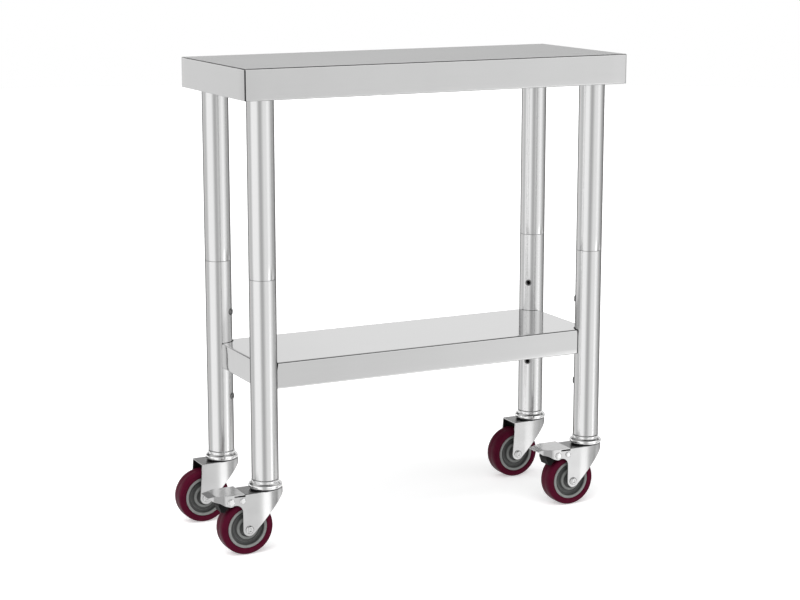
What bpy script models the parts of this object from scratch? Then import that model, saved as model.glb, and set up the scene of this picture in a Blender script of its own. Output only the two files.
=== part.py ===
"""Stainless work table on four swivel casters: box-pan worktop, adjustable undershelf, two braked casters."""
import math

import bmesh
import bpy
from mathutils import Matrix, Vector

# Overall sizes, in metres. +X runs along the worktop, -Y is its front, +Z is up.
TOP_LENGTH = 0.762
TOP_WIDTH = 0.3048
TOP_HEIGHT = 0.8636
TOP_APRON = 0.055
SHEET = 0.0012
TOP_LIP = 0.012
FOLD_RADIUS = 0.0015
GAP = 0.0003

# Legs: round tube in two lengths with a sleeve inside the joint.
LEG_X = 0.3345
LEG_Y = 0.1059
LEG_RADIUS = 0.024
LEG_WALL = 0.0015
LEG_SEAM_Z = 0.4936
LEG_BOTTOM_Z = 0.133
LEG_BORE = LEG_RADIUS - LEG_WALL
SLEEVE_RADIUS = 0.0221
SLEEVE_WALL = 0.0016
SLEEVE_HALF = 0.040

# Sockets under the worktop that the upper tubes push onto.
SOCKET_PLATE_RADIUS = 0.034
SOCKET_PLATE = 0.0025
SOCKET_DEPTH = 0.045

# Hat channel that stiffens the worktop from below.
CHANNEL_LENGTH = 0.640
CHANNEL_HEIGHT = 0.025
CHANNEL_WEB_HALF = 0.022
CHANNEL_FLANGE_HALF = 0.040

# Undershelf pan, hung between the legs.
SHELF_OVERHANG = 0.005
SHELF_APRON = 0.047
SHELF_LIP = 0.010
SHELF_TOP_Z = 0.3405
SHELF_LEG_CLEAR = 0.0006
SHELF_CORNER_CUT = 0.0263
GUSSET_FACE = 0.0261
GUSSET_THICK = 0.0018
GUSSET_END = 0.0044

# Three threaded inserts in each lower leg, facing the middle of the table.
INSERT_PITCH = 0.080
INSERT_MIDDLE_Z = 0.317
INSERT_FLANGE_RADIUS = 0.0062
INSERT_FACE = 0.0258
INSERT_BARREL_RADIUS = 0.0054
INSERT_INNER_END = 0.0145
INSERT_BORE = 0.0040
BOLT_SHANK = 0.0037
BOLT_HEAD_RADIUS = 0.0064
BOLT_HEAD = 0.0048
GUSSET_HOLE = 0.0042

# Caster: fixed stem with flange, swivelling fork, wheel.
WHEEL_RADIUS = 0.0495
WHEEL_SEGMENTS = 32
TYRE_HALF = 0.017
TYRE_BORE = 0.0370
AXLE_Z = WHEEL_RADIUS * math.cos(math.pi / WHEEL_SEGMENTS)
TRAIL = 0.041
STEM_TOP_Z = 0.160
COLLAR_RADIUS = 0.025
COLLAR_BOTTOM_Z = 0.1272
FLANGE_RADIUS = 0.0302
FLANGE_EDGE_Z = 0.1230
FLANGE_BOTTOM_Z = 0.1176
RACE_RADIUS = 0.0270
RACE_BORE = 0.0120
FORK_TOP_Z = 0.1146
FORK_SHEET = 0.0025
FORK_HALF = 0.025
FORK_NOSE_REACH = 0.0325
FORK_FLAT_END = -0.028
FORK_REAR = -0.048
FORK_RIM_RADIUS = 0.0022
FORK_NOSE_LOW_Z = 0.1060
FORK_NOSE_LOW_X = 0.0330
NOSE_STEPS = 9
AXLE_END_RADIUS = 0.0120
KINGPIN_RADIUS = 0.007
KINGPIN_HEAD_RADIUS = 0.012
KINGPIN_HEAD = 0.004
AXLE_RADIUS = 0.004
AXLE_HEAD_RADIUS = 0.0074
AXLE_HEAD = 0.0036
AXLE_NUT_FLATS = 0.013
AXLE_NUT = 0.0065
AXLE_TAIL = 0.002

# Pedal brake: pivot and stop rivets measured from the swivel axis.
PIVOT_X = -0.076
PIVOT_Z = 0.104
PIVOT_RADIUS = 0.003
PIVOT_HEAD_RADIUS = 0.0066
PIVOT_HEAD = 0.0022
STOP_X = -0.0535
STOP_Z = 0.1035
STOP_RADIUS = 0.0025
STOP_HEAD_RADIUS = 0.0054
STOP_HEAD = 0.0018
ARM_END_RADIUS = 0.0075
ARM_FILLET = 0.014
ARM_SLOT_Z = 0.1105
PEDAL_SHEET = 0.002
PEDAL_PLATE = 0.0105
PEDAL_HALF = FORK_HALF + 0.0004 + PEDAL_SHEET
PEDAL_FRONT = 0.0255
PEDAL_BEND = -0.026
PEDAL_END = -0.040
PEDAL_END_RISE = 0.0105
SHOE_HALF = 0.014
SHOE_CLEARANCE = 0.0055

# The table stands off centre so that the box round the whole object is centred on the origin.
PEDAL_REACH = LEG_X - PIVOT_X - PEDAL_END
PLAN_X = (PEDAL_REACH - TOP_LENGTH / 2) / 2

TUBE_SEGMENTS = 24
HIDDEN_SEGMENTS = 16
HUB_SEGMENTS = 24
PIN_SEGMENTS = 12
SMALL_SEGMENTS = 10
CORNERS = {"fl": (-1, -1), "fr": (1, -1), "bl": (-1, 1), "br": (1, 1)}
SMOOTH_ANGLE = math.radians(32)


def clear_scene():
    for obj in list(bpy.data.objects):
        bpy.data.objects.remove(obj, do_unlink=True)


def material(name, colour, metallic, roughness):
    made = bpy.data.materials.new(name)
    made.use_nodes = True
    shader = made.node_tree.nodes["Principled BSDF"]
    shader.inputs["Base Color"].default_value = (*colour, 1.0)
    shader.inputs["Metallic"].default_value = metallic
    shader.inputs["Roughness"].default_value = roughness
    return made


def to_object(bm, name="shape"):
    bmesh.ops.recalc_face_normals(bm, faces=bm.faces)
    mesh = bpy.data.meshes.new(name)
    bm.to_mesh(mesh)
    bm.free()
    obj = bpy.data.objects.new(name, mesh)
    bpy.context.scene.collection.objects.link(obj)
    return obj


def combine(target, tool, operation):
    """Joins, cuts or intersects target with tool, and takes tool away."""
    modifier = target.modifiers.new("combine", "BOOLEAN")
    modifier.operation = operation
    modifier.solver = "EXACT"
    modifier.object = tool
    graph = bpy.context.evaluated_depsgraph_get()
    result = bpy.data.meshes.new_from_object(target.evaluated_get(graph))
    target.modifiers.clear()
    target.data = result
    bpy.data.objects.remove(tool, do_unlink=True)
    return target


def prism(points, low, high, axis="Z"):
    """Extrudes a flat outline: (x, y) along Z, or (x, z) along Y."""
    bm = bmesh.new()
    if axis == "Z":
        verts = [bm.verts.new((x, y, low)) for x, y in points]
        step = Vector((0, 0, high - low))
    else:
        verts = [bm.verts.new((x, low, z)) for x, z in points]
        step = Vector((0, high - low, 0))
    face = bm.faces.new(verts)
    grown = bmesh.ops.extrude_face_region(bm, geom=[face])
    moved = [item for item in grown["geom"] if isinstance(item, bmesh.types.BMVert)]
    bmesh.ops.translate(bm, verts=moved, vec=step)
    return to_object(bm)


def box(size, centre):
    bm = bmesh.new()
    bmesh.ops.create_cube(bm, size=1.0)
    bmesh.ops.scale(bm, vec=size, verts=bm.verts)
    bmesh.ops.translate(bm, vec=centre, verts=bm.verts)
    return to_object(bm)


def cylinder(radius, low, high, segments, turn=None):
    bm = bmesh.new()
    bmesh.ops.create_cone(
        bm, cap_ends=True, segments=segments, radius1=radius, radius2=radius, depth=high - low
    )
    bmesh.ops.translate(bm, vec=(0, 0, (low + high) / 2), verts=bm.verts)
    if turn is not None:
        bm.transform(turn)
    return to_object(bm)


def revolve(profile, segments, closed, axis="Z"):
    """Spins (radius, height) points about Z or Y. An open profile starts and ends on the axis."""
    bm = bmesh.new()
    if axis == "Z":
        verts = [bm.verts.new((radius, 0, height)) for radius, height in profile]
        turn_axis = (0, 0, 1)
    else:
        verts = [bm.verts.new((radius, height, 0)) for radius, height in profile]
        turn_axis = (0, 1, 0)
    edges = [bm.edges.new(pair) for pair in zip(verts, verts[1:])]
    if closed:
        edges.append(bm.edges.new((verts[-1], verts[0])))
    bmesh.ops.spin(
        bm,
        geom=verts + edges,
        cent=(0, 0, 0),
        axis=turn_axis,
        angle=2 * math.pi,
        steps=segments,
        use_merge=True,
    )
    bmesh.ops.remove_doubles(bm, verts=bm.verts, dist=1e-6)
    return to_object(bm)


def arc(centre, radius, start, end, steps):
    """Points on an arc, angles in degrees."""
    points = []
    for step in range(steps + 1):
        angle = math.radians(start + (end - start) * step / steps)
        points.append((centre[0] + radius * math.cos(angle), centre[1] + radius * math.sin(angle)))
    return points


def finish_mesh(obj, name, shader):
    """Names the mesh, shades it smooth between sharp folds and gives it its material."""
    mesh = obj.data
    mesh.name = name
    mesh.materials.clear()
    mesh.materials.append(shader)
    for face in mesh.polygons:
        face.use_smooth = True
        face.material_index = 0
    mesh.set_sharp_from_angle(angle=SMOOTH_ANGLE)
    bpy.data.objects.remove(obj, do_unlink=True)
    return mesh


def place(name, mesh, location, turn=0.0):
    obj = bpy.data.objects.new(name, mesh)
    bpy.context.scene.collection.objects.link(obj)
    obj.location = location
    obj.rotation_euler = (0, 0, turn)


def pan(length, width, height, top_z, lip):
    """A tray of folded sheet turned upside down, its lower edge returned inward."""
    bm = bmesh.new()
    bmesh.ops.create_cube(bm, size=1.0)
    bmesh.ops.scale(bm, vec=(length, width, height), verts=bm.verts)
    bmesh.ops.translate(bm, vec=(0, 0, top_z - height / 2), verts=bm.verts)
    rim = [edge for edge in bm.edges if all(vert.co.z > top_z - 1e-6 for vert in edge.verts)]
    bmesh.ops.bevel(bm, geom=rim, offset=FOLD_RADIUS, segments=3, profile=0.5, affect="EDGES")
    body = to_object(bm)
    bottom = top_z - height
    inside = box(
        (length - 2 * SHEET, width - 2 * SHEET, height - 2 * SHEET), (0, 0, top_z - height / 2)
    )
    combine(body, inside, "DIFFERENCE")
    mouth = box((length - 2 * lip, width - 2 * lip, 4 * SHEET), (0, 0, bottom))
    return combine(body, mouth, "DIFFERENCE")


def worktop():
    return pan(TOP_LENGTH, TOP_WIDTH, TOP_APRON, TOP_HEIGHT, TOP_LIP)


def channel():
    """Hat section open towards the worktop, with its two flanges against the underside."""
    top = TOP_HEIGHT - SHEET - GAP
    low = top - CHANNEL_HEIGHT
    outer = [
        (-CHANNEL_FLANGE_HALF, top),
        (-CHANNEL_FLANGE_HALF, top - SHEET),
        (-CHANNEL_WEB_HALF, top - SHEET),
        (-CHANNEL_WEB_HALF, low),
        (CHANNEL_WEB_HALF, low),
        (CHANNEL_WEB_HALF, top - SHEET),
        (CHANNEL_FLANGE_HALF, top - SHEET),
        (CHANNEL_FLANGE_HALF, top),
        (CHANNEL_WEB_HALF - SHEET, top),
        (CHANNEL_WEB_HALF - SHEET, low + SHEET),
        (-CHANNEL_WEB_HALF + SHEET, low + SHEET),
        (-CHANNEL_WEB_HALF + SHEET, top),
    ]
    obj = prism(outer, -CHANNEL_LENGTH / 2, CHANNEL_LENGTH / 2, axis="Y")
    obj.data.transform(Matrix.Rotation(math.pi / 2, 4, "Z"))
    return obj


def tube(radius, bore, low, high, segments):
    profile = [(bore, low), (radius, low), (radius, high), (bore, high)]
    return revolve(profile, segments, closed=True)


def socket():
    top = TOP_HEIGHT - SHEET - GAP
    profile = [
        (SLEEVE_RADIUS - SLEEVE_WALL, top - SOCKET_DEPTH),
        (SLEEVE_RADIUS, top - SOCKET_DEPTH),
        (SLEEVE_RADIUS, top - SOCKET_PLATE),
        (SOCKET_PLATE_RADIUS, top - SOCKET_PLATE),
        (SOCKET_PLATE_RADIUS, top),
        (SLEEVE_RADIUS - SLEEVE_WALL, top),
    ]
    return revolve(profile, HIDDEN_SEGMENTS, closed=True)


def along_x(z):
    """Turns a Z cylinder to lie along +X at height z."""
    return Matrix.Translation((0, 0, z)) @ Matrix.Rotation(math.pi / 2, 4, "Y")


def insert_heights():
    return [INSERT_MIDDLE_Z + step * INSERT_PITCH for step in (-1, 0, 1)]


def lower_leg():
    """Lower tube with its three threaded inserts pressed in on the +X side."""
    leg = tube(LEG_RADIUS, LEG_BORE, LEG_BOTTOM_Z, LEG_SEAM_Z - GAP / 2, TUBE_SEGMENTS)
    for z in insert_heights():
        barrel = cylinder(
            INSERT_BARREL_RADIUS, INSERT_INNER_END, LEG_RADIUS, SMALL_SEGMENTS, along_x(z)
        )
        flange = cylinder(
            INSERT_FLANGE_RADIUS, LEG_BORE + 0.0003, INSERT_FACE, SMALL_SEGMENTS, along_x(z)
        )
        combine(leg, barrel, "UNION")
        combine(leg, flange, "UNION")
        bore = cylinder(INSERT_BORE, 0.010, 0.030, SMALL_SEGMENTS, along_x(z))
        combine(leg, bore, "DIFFERENCE")
    return leg


def gusset(placing):
    """Flat plate across a shelf corner, facing the leg, drilled for its bolt."""
    near = GUSSET_FACE
    far = GUSSET_FACE + GUSSET_THICK
    reach = math.sqrt(2) * GUSSET_END
    corner = [(near, -near - reach), (far, -far - reach), (far, far + reach), (near, near + reach)]
    plate = prism(corner, SHELF_TOP_Z - SHELF_APRON + SHEET / 2, SHELF_TOP_Z - SHEET / 2)
    hole = cylinder(GUSSET_HOLE, 0.020, 0.034, SMALL_SEGMENTS, along_x(INSERT_MIDDLE_Z))
    combine(plate, hole, "DIFFERENCE")
    plate.data.transform(placing)
    return plate


def undershelf():
    """Shelf pan with its corners cut away round the legs and a bolted gusset in each."""
    length = 2 * (LEG_X + SHELF_OVERHANG)
    width = 2 * (LEG_Y + SHELF_OVERHANG)
    shelf = pan(length, width, SHELF_APRON, SHELF_TOP_Z, SHELF_LIP)
    for sign_x, sign_y in CORNERS.values():
        centre = Matrix.Translation((sign_x * LEG_X, sign_y * LEG_Y, 0))
        round_leg = cylinder(
            LEG_RADIUS + SHELF_LEG_CLEAR, SHELF_TOP_Z - 0.070, SHELF_TOP_Z + 0.010,
            TUBE_SEGMENTS, centre,
        )
        combine(shelf, round_leg, "DIFFERENCE")
        corner = cylinder(
            SHELF_CORNER_CUT, SHELF_TOP_Z - 0.0030, SHELF_TOP_Z + 0.010, TUBE_SEGMENTS, centre
        )
        combine(shelf, corner, "DIFFERENCE")
        inward = math.atan2(-sign_y, -sign_x)
        combine(shelf, gusset(centre @ Matrix.Rotation(inward, 4, "Z")), "UNION")
    return shelf


def shelf_bolt():
    """Hex bolt lying along +X, head away from the leg axis."""
    head_face = GUSSET_FACE + GUSSET_THICK + GAP
    shank = cylinder(
        BOLT_SHANK, INSERT_INNER_END + 0.001, head_face + 0.001, SMALL_SEGMENTS,
        along_x(INSERT_MIDDLE_Z),
    )
    head = cylinder(
        BOLT_HEAD_RADIUS, head_face, head_face + BOLT_HEAD, 6, along_x(INSERT_MIDDLE_Z)
    )
    return combine(head, shank, "UNION")


def caster_mount():
    """Stem, collar, flange and kingpin in one turned piece, fixed in the bottom of the leg."""
    plate_low = FORK_TOP_Z - FORK_SHEET
    head_top = plate_low - GAP
    profile = [
        (0, STEM_TOP_Z),
        (LEG_BORE - 0.0006, STEM_TOP_Z),
        (LEG_BORE - 0.0006, LEG_BOTTOM_Z - GAP),
        (COLLAR_RADIUS, LEG_BOTTOM_Z - GAP),
        (COLLAR_RADIUS, COLLAR_BOTTOM_Z),
        (FLANGE_RADIUS, FLANGE_EDGE_Z),
        (FLANGE_RADIUS, FLANGE_BOTTOM_Z),
        (KINGPIN_RADIUS, FLANGE_BOTTOM_Z),
        (KINGPIN_RADIUS, head_top),
        (KINGPIN_HEAD_RADIUS, head_top),
        (KINGPIN_HEAD_RADIUS, head_top - KINGPIN_HEAD),
        (0, head_top - KINGPIN_HEAD),
    ]
    return revolve(profile, TUBE_SEGMENTS, closed=False)


def race():
    profile = [
        (RACE_BORE, FORK_TOP_Z + GAP),
        (RACE_RADIUS, FORK_TOP_Z + GAP),
        (RACE_RADIUS, FLANGE_BOTTOM_Z - GAP),
        (RACE_BORE, FLANGE_BOTTOM_Z - GAP),
    ]
    return revolve(profile, HIDDEN_SEGMENTS, closed=True)


def fork_outline(rear, inset):
    """Plan of the fork: flat sides closed by a long half-oval nose, drawn inset from the outside."""
    half = FORK_HALF - inset
    reach = FORK_NOSE_REACH - inset - FORK_FLAT_END
    nose = [(FORK_FLAT_END + x * reach, y * half) for x, y in arc((0, 0), 1, 90, 0, NOSE_STEPS)]
    upper = [(rear, half)] + nose
    lower = [(x, -y) for x, y in reversed(upper[:-1])]
    return upper + lower


def fork_side(braked):
    """Side view of the fork as (x, z): sloping front, rounded axle end, and a brake arm if braked."""
    axle = (-TRAIL, AXLE_Z)
    reach_x = FORK_NOSE_LOW_X - axle[0]
    reach_z = FORK_NOSE_LOW_Z - axle[1]
    distance = math.hypot(reach_x, reach_z)
    aim = math.degrees(math.atan2(reach_z, reach_x))
    opening = math.degrees(math.acos(AXLE_END_RADIUS / distance))
    above = FORK_TOP_Z + 0.004
    points = [(0.040, above), (0.040, FORK_NOSE_LOW_Z), (FORK_NOSE_LOW_X, FORK_NOSE_LOW_Z)]
    points += arc(axle, AXLE_END_RADIUS, aim - opening, -180, 7)
    if not braked:
        points += [(FORK_REAR, FORK_TOP_Z), (FORK_REAR, above)]
        return points
    arm_low = PIVOT_Z - ARM_END_RADIUS
    corner = (axle[0] - AXLE_END_RADIUS - ARM_FILLET, arm_low - ARM_FILLET)
    points += arc(corner, ARM_FILLET, 0, 90, 4)
    points += arc((PIVOT_X, PIVOT_Z), ARM_END_RADIUS, -90, -270, 6)
    points += [(FORK_REAR, ARM_SLOT_Z), (FORK_REAR, above)]
    return points


def along_y(x, z):
    """Turns a Z cylinder to lie along -Y at (x, z)."""
    return Matrix.Translation((x, 0, z)) @ Matrix.Rotation(math.pi / 2, 4, "X")


def fork(braked):
    """Pressed-steel fork: a hood open at the back, cut to its side view and drilled."""
    rear = PIVOT_X - 0.012 if braked else -TRAIL - AXLE_END_RADIUS - 0.004
    hood = prism(fork_outline(rear, 0), 0.020, FORK_TOP_Z)
    bm = bmesh.new()
    bm.from_mesh(hood.data)
    rim = []
    for edge in bm.edges:
        middle = (edge.verts[0].co + edge.verts[1].co) / 2
        on_top = all(vert.co.z > FORK_TOP_Z - 1e-6 for vert in edge.verts)
        if on_top and middle.x > rear + 1e-4:
            rim.append(edge)
    bmesh.ops.bevel(bm, geom=rim, offset=FORK_RIM_RADIUS, segments=2, profile=0.5, affect="EDGES")
    bm.to_mesh(hood.data)
    bm.free()
    hollow = prism(fork_outline(rear - 0.010, FORK_SHEET), 0.010, FORK_TOP_Z - FORK_SHEET)
    combine(hood, hollow, "DIFFERENCE")
    side = prism(fork_side(braked), -0.050, 0.050, axis="Y")
    combine(hood, side, "INTERSECT")
    king_hole = cylinder(KINGPIN_RADIUS + 0.0008, 0.100, 0.130, SMALL_SEGMENTS)
    combine(hood, king_hole, "DIFFERENCE")
    holes = [(-TRAIL, AXLE_Z, AXLE_RADIUS)]
    if braked:
        holes += [(PIVOT_X, PIVOT_Z, PIVOT_RADIUS), (STOP_X, STOP_Z, STOP_RADIUS)]
    for x, z, radius in holes:
        hole = cylinder(radius + GAP, -0.060, 0.060, SMALL_SEGMENTS, along_y(x, z))
        combine(hood, hole, "DIFFERENCE")
    return hood


def tyre():
    half = [
        (TYRE_BORE, 0.0155),
        (0.0415, TYRE_HALF),
        (0.0460, 0.0166),
        (0.0483, 0.0153),
        (WHEEL_RADIUS, 0.0120),
    ]
    profile = half + [(radius, -y) for radius, y in reversed(half)]
    wheel = revolve(profile, WHEEL_SEGMENTS, closed=True, axis="Y")
    wheel.data.transform(Matrix.Rotation(math.pi / WHEEL_SEGMENTS, 4, "Y"))
    return wheel


def hub():
    half = [
        (AXLE_RADIUS + GAP, 0.0220),
        (0.0090, 0.0220),
        (0.0090, 0.0155),
        (0.0202, 0.0155),
        (0.0212, 0.0090),
        (0.0312, 0.0090),
        (0.0320, 0.0160),
        (TYRE_BORE - GAP, 0.0160),
    ]
    profile = half + [(radius, -y) for radius, y in reversed(half)]
    return revolve(profile, HUB_SEGMENTS, closed=True, axis="Y")


def pin(radius, head_radius, head, inner_half, tail=0.0):
    """A pin along Y with a rounded head at -Y, and a plain tail or a second head at +Y."""
    low = -inner_half
    high = inner_half + tail
    profile = [
        (0, low - head),
        (head_radius * 0.62, low - head),
        (head_radius, low - head * 0.45),
        (head_radius, low),
        (radius, low),
    ]
    if tail > 0:
        profile += [(radius, high), (0, high)]
    else:
        profile += [(r, -y) for r, y in reversed(profile)]
    return revolve(profile, PIN_SEGMENTS, closed=False, axis="Y")


def axle_nut():
    nut = cylinder(
        AXLE_NUT_FLATS / math.sqrt(3), -AXLE_NUT / 2, AXLE_NUT / 2, 6, along_y(0, 0)
    )
    hole = cylinder(AXLE_RADIUS + GAP, -0.020, 0.020, SMALL_SEGMENTS, along_y(0, 0))
    return combine(nut, hole, "DIFFERENCE")


def pedal():
    """Stamped pedal about its pivot: flat plate, ramped toe, side skirts round the pivot."""
    plate_top = PEDAL_PLATE + PEDAL_SHEET
    side = [
        (PEDAL_FRONT, PEDAL_PLATE),
        (PEDAL_FRONT, plate_top),
        (PEDAL_BEND, plate_top),
        (PEDAL_END, PEDAL_END_RISE),
        (PEDAL_END + 0.0010, PEDAL_END_RISE - 0.0018),
        (-0.029, 0.0020),
        (-0.019, -0.0005),
        (-0.011, -0.0055),
    ]
    side += arc((0, 0), 0.0088, -125, 40, 8)
    side += [(0.0060, PEDAL_PLATE)]
    body = prism(side, -0.040, 0.040, axis="Y")
    plan = [
        (PEDAL_FRONT + 0.010, PEDAL_HALF),
        (-0.012, PEDAL_HALF),
        (-0.029, 0.0185),
        (PEDAL_END - 0.010, 0.0165),
    ]
    outline = plan + [(x, -y) for x, y in reversed(plan)]
    combine(body, prism(outline, -0.030, 0.030), "INTERSECT")
    inner_plan = [
        (PEDAL_FRONT + 0.020, PEDAL_HALF - PEDAL_SHEET),
        (-0.0113, PEDAL_HALF - PEDAL_SHEET),
        (-0.0283, 0.0165),
        (PEDAL_END - 0.020, 0.0145),
    ]
    inner_outline = inner_plan + [(x, -y) for x, y in reversed(inner_plan)]
    inside = prism(inner_outline, -0.050, 0.050)
    ramp_x = PEDAL_BEND - PEDAL_END
    ramp_z = plate_top - PEDAL_END_RISE
    ramp = math.hypot(ramp_x, ramp_z)
    shift_x = PEDAL_SHEET * ramp_z / ramp
    shift_z = PEDAL_SHEET * ramp_x / ramp
    toe = (PEDAL_END + shift_x - ramp_x, PEDAL_END_RISE - shift_z - ramp_z)
    under = [
        (PEDAL_FRONT + 0.030, PEDAL_PLATE),
        (PEDAL_BEND + shift_x / 2, PEDAL_PLATE),
        toe,
        (toe[0], -0.040),
        (PEDAL_FRONT + 0.030, -0.040),
    ]
    combine(inside, prism(under, -0.060, 0.060, axis="Y"), "INTERSECT")
    combine(body, inside, "DIFFERENCE")
    hole = cylinder(PIVOT_RADIUS + GAP, -0.060, 0.060, SMALL_SEGMENTS, along_y(0, 0))
    return combine(body, hole, "DIFFERENCE")


def shoe():
    """Rubber brake block under the pedal, hollowed to the curve of the tyre."""
    wheel = (-TRAIL - PIVOT_X, AXLE_Z - PIVOT_Z)
    side = arc(wheel, WHEEL_RADIUS + SHOE_CLEARANCE, 142, 122, 4)
    side += [
        (0.0060, -0.0060),
        (-0.0060, -0.0052),
        (-0.0070, PEDAL_PLATE - GAP),
        (-0.0170, PEDAL_PLATE - GAP),
        (-0.0185, -0.0080),
        (-0.0135, -0.0210),
    ]
    return prism(side, -SHOE_HALF, SHOE_HALF, axis="Y")


def build():
    clear_scene()
    steel = {
        "worktop": material("worktop_steel", (0.62, 0.63, 0.64), 1.0, 0.32),
        "undershelf": material("shelf_steel", (0.68, 0.69, 0.70), 1.0, 0.25),
        "leg": material("leg_steel", (0.66, 0.66, 0.67), 1.0, 0.28),
        "inner": material("inner_steel", (0.45, 0.46, 0.47), 1.0, 0.45),
        "channel": material("channel_zinc", (0.50, 0.51, 0.52), 1.0, 0.45),
        "bolt": material("bolt_zinc", (0.40, 0.41, 0.42), 1.0, 0.40),
        "mount": material("mount_chrome", (0.78, 0.78, 0.79), 1.0, 0.12),
        "fork": material("fork_zinc", (0.66, 0.66, 0.67), 1.0, 0.26),
        "race": material("race_steel", (0.05, 0.05, 0.055), 0.6, 0.45),
        "pedal": material("pedal_zinc", (0.70, 0.70, 0.71), 1.0, 0.22),
    }
    tyre_red = material("tyre_polyurethane", (0.085, 0.010, 0.028), 0.0, 0.42)
    hub_grey = material("hub_plastic", (0.13, 0.135, 0.14), 0.0, 0.50)
    shoe_black = material("shoe_rubber", (0.012, 0.012, 0.012), 0.0, 0.70)
    centre = (PLAN_X, 0, 0)

    place("worktop", finish_mesh(worktop(), "worktop", steel["worktop"]), centre)
    place("top_channel", finish_mesh(channel(), "top_channel", steel["channel"]), centre)
    place("undershelf", finish_mesh(undershelf(), "undershelf", steel["undershelf"]), centre)

    tube_top = TOP_HEIGHT - SHEET - GAP - SOCKET_PLATE - GAP
    upper = tube(LEG_RADIUS, LEG_BORE, LEG_SEAM_Z + GAP / 2, tube_top, TUBE_SEGMENTS)
    upper_mesh = finish_mesh(upper, "leg_upper", steel["leg"])
    sleeve = tube(
        SLEEVE_RADIUS, SLEEVE_RADIUS - SLEEVE_WALL, LEG_SEAM_Z - SLEEVE_HALF,
        LEG_SEAM_Z + SLEEVE_HALF, HIDDEN_SEGMENTS,
    )
    sleeve_mesh = finish_mesh(sleeve, "leg_sleeve", steel["inner"])
    socket_mesh = finish_mesh(socket(), "leg_socket", steel["inner"])
    lower_mesh = finish_mesh(lower_leg(), "leg_lower", steel["leg"])
    bolt_mesh = finish_mesh(shelf_bolt(), "shelf_bolt", steel["bolt"])
    mount_mesh = finish_mesh(caster_mount(), "caster_mount", steel["mount"])
    race_mesh = finish_mesh(race(), "swivel_race", steel["race"])
    plain_mesh = finish_mesh(fork(False), "fork_plain", steel["fork"])
    braked_mesh = finish_mesh(fork(True), "fork_braked", steel["fork"])
    tyre_mesh = finish_mesh(tyre(), "tyre", tyre_red)
    hub_mesh = finish_mesh(hub(), "hub", hub_grey)
    axle = pin(AXLE_RADIUS, AXLE_HEAD_RADIUS, AXLE_HEAD, FORK_HALF + GAP, AXLE_NUT + AXLE_TAIL)
    axle_mesh = finish_mesh(axle, "axle_bolt", steel["bolt"])
    nut_mesh = finish_mesh(axle_nut(), "axle_nut", steel["bolt"])
    pedal_mesh = finish_mesh(pedal(), "brake_pedal", steel["pedal"])
    shoe_mesh = finish_mesh(shoe(), "brake_shoe", shoe_black)
    pivot = pin(PIVOT_RADIUS, PIVOT_HEAD_RADIUS, PIVOT_HEAD, PEDAL_HALF + GAP)
    pivot_mesh = finish_mesh(pivot, "brake_pivot", steel["pedal"])
    stop = pin(STOP_RADIUS, STOP_HEAD_RADIUS, STOP_HEAD, FORK_HALF + GAP)
    stop_mesh = finish_mesh(stop, "brake_stop", steel["pedal"])

    for name, (sign_x, sign_y) in CORNERS.items():
        x = PLAN_X + sign_x * LEG_X
        y = sign_y * LEG_Y
        inward = math.atan2(-sign_y, -sign_x)
        place("leg_socket_" + name, socket_mesh, (x, y, 0))
        place("leg_upper_" + name, upper_mesh, (x, y, 0))
        place("leg_sleeve_" + name, sleeve_mesh, (x, y, 0))
        place("leg_lower_" + name, lower_mesh, (x, y, 0), turn=inward)
        place("shelf_bolt_" + name, bolt_mesh, (x, y, 0), turn=inward)
        place("caster_mount_" + name, mount_mesh, (x, y, 0))
        place("swivel_race_" + name, race_mesh, (x, y, 0))
        braked = sign_y < 0
        place("fork_" + name, braked_mesh if braked else plain_mesh, (x, y, 0))
        axle_at = (x - TRAIL, y, AXLE_Z)
        place("tyre_" + name, tyre_mesh, axle_at)
        place("hub_" + name, hub_mesh, axle_at)
        place("axle_bolt_" + name, axle_mesh, axle_at)
        place("axle_nut_" + name, nut_mesh, (x - TRAIL, y + FORK_HALF + GAP + AXLE_NUT / 2, AXLE_Z))
        if braked:
            pivot_at = (x + PIVOT_X, y, PIVOT_Z)
            place("brake_pedal_" + name, pedal_mesh, pivot_at)
            place("brake_shoe_" + name, shoe_mesh, pivot_at)
            place("brake_pivot_" + name, pivot_mesh, pivot_at)
            place("brake_stop_" + name, stop_mesh, (x + STOP_X, y, STOP_Z))


build()
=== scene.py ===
"""Looks of the stainless work table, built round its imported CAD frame."""

import math

import bmesh
import bpy
from mathutils import Matrix, Vector


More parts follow.
